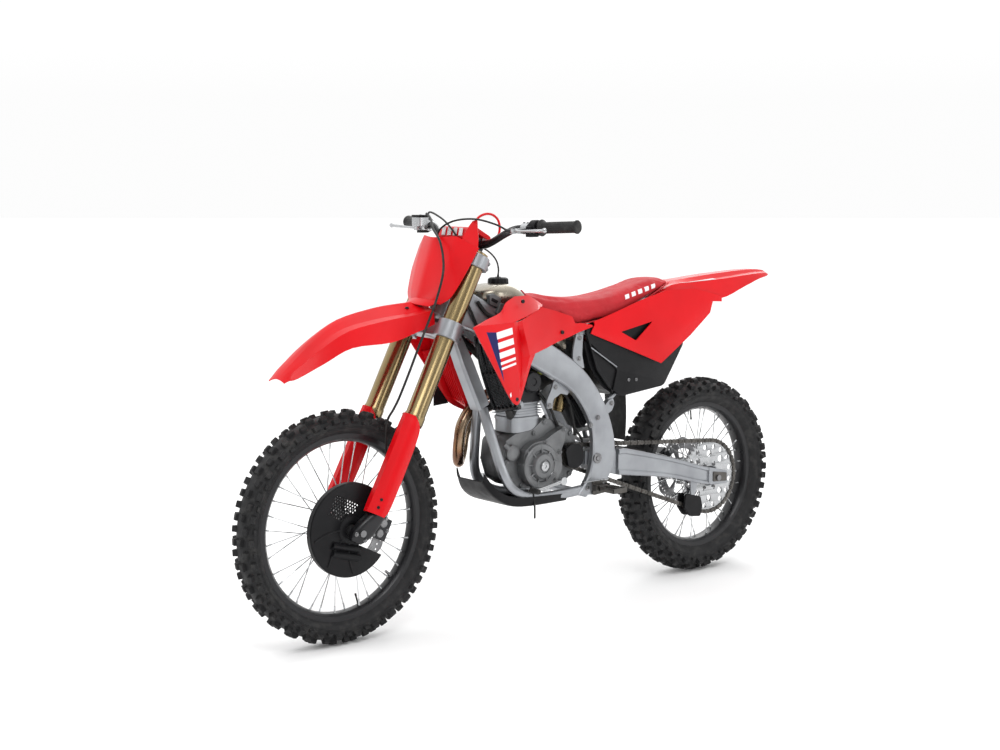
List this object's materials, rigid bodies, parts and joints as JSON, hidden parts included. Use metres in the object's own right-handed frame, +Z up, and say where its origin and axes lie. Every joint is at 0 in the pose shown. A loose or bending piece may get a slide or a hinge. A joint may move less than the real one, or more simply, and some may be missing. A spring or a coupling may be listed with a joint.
{
  "type": "motocross motorcycle",
  "caption": "Off-road racing motorcycle with knobbly spoked wheels, long-travel fork, twin-spar frame, swingarm, high fenders, flat seat and a single-cylinder engine.",
  "frame": {"origin": "on the ground, under the middle of the motorcycle's length, in its plane of symmetry", "axes": "+X to the rear of the motorcycle, +Y to the rider's right, +Z up"},
  "size_m": [2.1613, 0.836, 1.2538],
  "materials": {
    "red_plastic": "glossy moulded",
    "seat_cover": "gripper cover, matt",
    "black_plastic": "satin moulded",
    "black_rubber": "matt",
    "tyre_rubber": "matt, knobbed",
    "frame_alloy": "satin, welded",
    "cast_alloy": "bead-blasted casting",
    "gold_tube": "gold anodised, polished",
    "hard_chrome": "hard-chromed",
    "steel": "plain",
    "black_alloy": "black anodised",
    "titanium": "bare titanium",
    "exhaust_metal": "heat-tinted",
    "spring_steel": "powder-coated"
  },
  "bodies": {
    "chassis": {"main_frame": "frame_alloy", "subframe": "frame_alloy", "crankcase": "cast_alloy", "ignition_cover": "cast_alloy", "clutch_cover": "cast_alloy", "cylinder": "cast_alloy", "cylinder_head": "cast_alloy", "exhaust_header": "exhaust_metal", "muffler": "titanium", "radiator_left": "black_alloy", "radiator_right": "black_alloy", "shroud_left": "red_plastic", "shroud_right": "red_plastic", "fuel_tank": "titanium", "seat": "seat_cover", "airbox": "black_plastic", "side_panel_left": "red_plastic", "side_panel_right": "red_plastic", "rear_fender": "red_plastic", "skid_plate": "black_plastic", "shock_body": "cast_alloy", "shock_spring": "spring_steel"},
    "steering": {"lower_triple_clamp": "frame_alloy", "upper_triple_clamp": "frame_alloy", "fork_tube_left": "gold_tube", "fork_tube_right": "gold_tube", "handlebar": "black_alloy", "left_grip": "black_rubber", "number_plate": "red_plastic", "front_fender": "red_plastic", "front_brake_hose": "black_rubber", "front_master_cylinder": "cast_alloy"},
    "throttle": {"throttle_grip": "black_rubber"},
    "clutch": {"clutch_lever": "cast_alloy"},
    "front_brake": {"front_brake_lever": "cast_alloy"},
    "fork_lower": {"fork_slider_left": "hard_chrome", "fork_slider_right": "hard_chrome", "fork_guard_left": "red_plastic", "fork_guard_right": "red_plastic", "front_axle": "steel", "front_caliper": "cast_alloy", "disc_guard": "black_plastic"},
    "front_wheel": {"front_tyre": "tyre_rubber", "front_rim": "black_alloy", "front_hub": "cast_alloy", "front_disc": "steel"},
    "rear_arm": {"swingarm": "frame_alloy", "rear_axle": "steel", "chain": "steel"},
    "rear_wheel": {"rear_tyre": "tyre_rubber", "rear_rim": "black_alloy", "rear_hub": "cast_alloy", "rear_sprocket": "steel", "rear_disc": "steel"},
    "left_peg": {"footpeg_left": "steel"},
    "right_peg": {"footpeg_right": "steel"},
    "shifter": {"shift_lever": "cast_alloy"},
    "rear_brake": {"rear_brake_pedal": "cast_alloy"},
    "countershaft": {"drive_sprocket": "steel"},
    "shock_rod": {"shock_shaft": "steel"}
  },
  "joints": [
    {"name": "steering", "type": "hinge", "parent": "chassis", "child": "steering", "pos_m": [-0.8475, 0, 0], "axis": [0.4555, 0, 0.8902], "range_deg": [-42, 42]},
    {"name": "fork_travel", "type": "slide", "parent": "steering", "child": "fork_lower", "axis": [0.4555, 0, 0.8902], "range_m": [-0.06, 0.245], "stiffness_N_per_m": 9000, "deforming": ["front_brake_hose"]},
    {"name": "front_wheel_spin", "type": "hinge", "parent": "fork_lower", "child": "front_wheel", "pos_m": [-0.7335, 0, 0.3465], "axis": [0, -1, 0], "continuous": true},
    {"name": "swingarm_pivot", "type": "hinge", "parent": "chassis", "child": "rear_arm", "pos_m": [0.185, 0, 0.465], "axis": [0, -1, 0], "range_deg": [-4.2, 26.6], "stiffness_Nm_per_rad": 2700, "deforming": ["chain", "shock_spring"]},
    {"name": "rear_wheel_spin", "type": "hinge", "parent": "rear_arm", "child": "rear_wheel", "pos_m": [0.7475, 0, 0.3375], "axis": [0, -1, 0], "continuous": true},
    {"name": "drive_sprocket_spin", "type": "hinge", "parent": "chassis", "child": "countershaft", "pos_m": [0.105, -0.07, 0.478], "axis": [0, -1, 0], "continuous": true},
    {"name": "shock_stroke", "type": "slide", "parent": "chassis", "child": "shock_rod", "axis": [-0.2863, 0, 0.9581], "range_m": [-0.018, 0.109]},
    {"name": "throttle_twist", "type": "hinge", "parent": "steering", "child": "throttle", "pos_m": [-0.203, 0.285, 1.212], "axis": [0.2272, 0.9731, 0.0379], "range_deg": [0, 75], "stiffness_Nm_per_rad": 0.3},
    {"name": "clutch_lever_pull", "type": "hinge", "parent": "steering", "child": "clutch", "pos_m": [-0.268, -0.238, 1.202], "axis": [0, 0, 1], "range_deg": [0, 20], "stiffness_Nm_per_rad": 2},
    {"name": "front_brake_pull", "type": "hinge", "parent": "steering", "child": "front_brake", "pos_m": [-0.268, 0.238, 1.202], "axis": [0, 0, -1], "range_deg": [0, 18], "stiffness_Nm_per_rad": 2},
    {"name": "left_peg_fold", "type": "hinge", "parent": "chassis", "child": "left_peg", "pos_m": [0.196, -0.128, 0.372], "axis": [-1, 0, 0], "range_deg": [0, 50], "stiffness_Nm_per_rad": 8},
    {"name": "right_peg_fold", "type": "hinge", "parent": "chassis", "child": "right_peg", "pos_m": [0.196, 0.128, 0.372], "axis": [1, 0, 0], "range_deg": [0, 50], "stiffness_Nm_per_rad": 8},
    {"name": "gear_shift", "type": "hinge", "parent": "chassis", "child": "shifter", "pos_m": [0.03, -0.122, 0.41], "axis": [0, 1, 0], "range_deg": [-13, 13], "stiffness_Nm_per_rad": 6},
    {"name": "rear_brake_push", "type": "hinge", "parent": "chassis", "child": "rear_brake", "pos_m": [0.176, 0.125, 0.33], "axis": [0, -1, 0], "range_deg": [0, 10], "stiffness_Nm_per_rad": 12}
  ],
  "couplings": [
    {"joint": "drive_sprocket_spin", "follows": "rear_wheel_spin", "ratio": 3.7692},
    {"joint": "shock_stroke", "follows": "swingarm_pivot", "m_per_rad": 0.23}
  ]
}
